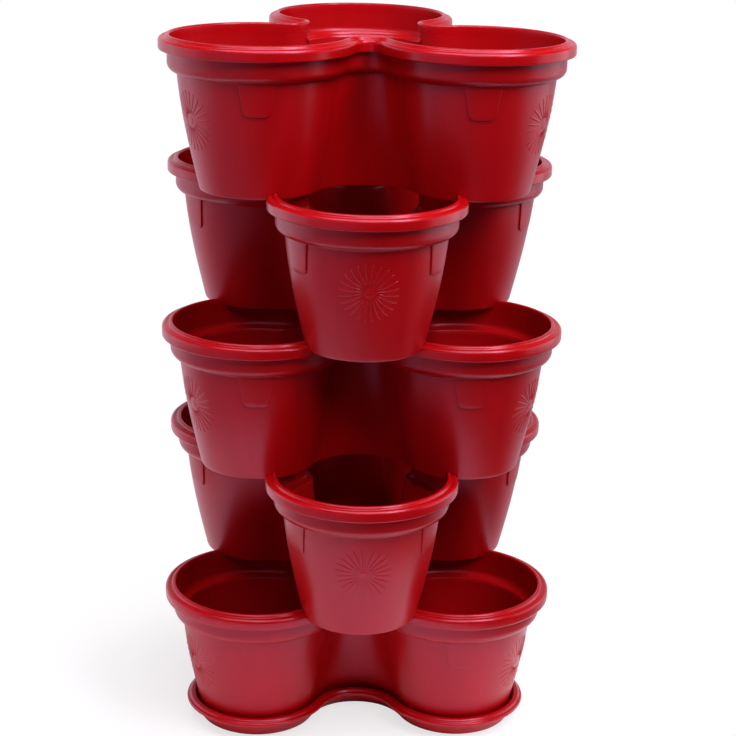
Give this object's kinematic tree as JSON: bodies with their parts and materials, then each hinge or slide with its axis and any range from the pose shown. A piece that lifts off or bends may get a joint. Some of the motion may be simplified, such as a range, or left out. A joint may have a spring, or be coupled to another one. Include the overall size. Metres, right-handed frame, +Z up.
{
  "type": "vertical planter tower",
  "caption": "Vertical planter tower of clover-shaped pots that stack on each other, each turned from the one below, over a clover saucer.",
  "frame": {"origin": "on the tower's vertical axis, on the surface that the saucer stands on", "axes": "+Z up the tower, -Y to the front, where a lobe of the second and fourth tiers points"},
  "size_m": [0.3666, 0.396, 0.6572],
  "materials": {
    "red_plastic": "satin, fine grained",
    "grid_plastic": "satin"
  },
  "bodies": {
    "saucer": {"saucer": "red_plastic"},
    "tier_1": {"tier_1_pot": "red_plastic"},
    "tier_1_grid": {"tier_1_drain_grid": "grid_plastic"},
    "tier_2": {"tier_2_pot": "red_plastic"},
    "tier_2_grid": {"tier_2_drain_grid": "grid_plastic"},
    "tier_3": {"tier_3_pot": "red_plastic"},
    "tier_3_grid": {"tier_3_drain_grid": "grid_plastic"},
    "tier_4": {"tier_4_pot": "red_plastic"},
    "tier_4_grid": {"tier_4_drain_grid": "grid_plastic"},
    "tier_5": {"tier_5_pot": "red_plastic"},
    "tier_5_grid": {"tier_5_drain_grid": "grid_plastic"}
  },
  "joints": [
    {"name": "tier_1_lift", "type": "slide", "parent": "saucer", "child": "tier_1", "axis": [0, 0, 1], "range_m": [0, 0.06]},
    {"name": "tier_1_grid_lift", "type": "slide", "parent": "tier_1", "child": "tier_1_grid", "axis": [0, 0, 1], "range_m": [0, 0.11]},
    {"name": "tier_2_lift", "type": "slide", "parent": "tier_1", "child": "tier_2", "axis": [0, 0, 1], "range_m": [0, 0.06]},
    {"name": "tier_2_grid_lift", "type": "slide", "parent": "tier_2", "child": "tier_2_grid", "axis": [0, 0, 1], "range_m": [0, 0.11]},
    {"name": "tier_3_lift", "type": "slide", "parent": "tier_2", "child": "tier_3", "axis": [0, 0, 1], "range_m": [0, 0.06]},
    {"name": "tier_3_grid_lift", "type": "slide", "parent": "tier_3", "child": "tier_3_grid", "axis": [0, 0, 1], "range_m": [0, 0.11]},
    {"name": "tier_4_lift", "type": "slide", "parent": "tier_3", "child": "tier_4", "axis": [0, 0, 1], "range_m": [0, 0.06]},
    {"name": "tier_4_grid_lift", "type": "slide", "parent": "tier_4", "child": "tier_4_grid", "axis": [0, 0, 1], "range_m": [0, 0.11]},
    {"name": "tier_5_lift", "type": "slide", "parent": "tier_4", "child": "tier_5", "axis": [0, 0, 1], "range_m": [0, 0.06]},
    {"name": "tier_5_grid_lift", "type": "slide", "parent": "tier_5", "child": "tier_5_grid", "axis": [0, 0, 1], "range_m": [0, 0.16]}
  ]
}
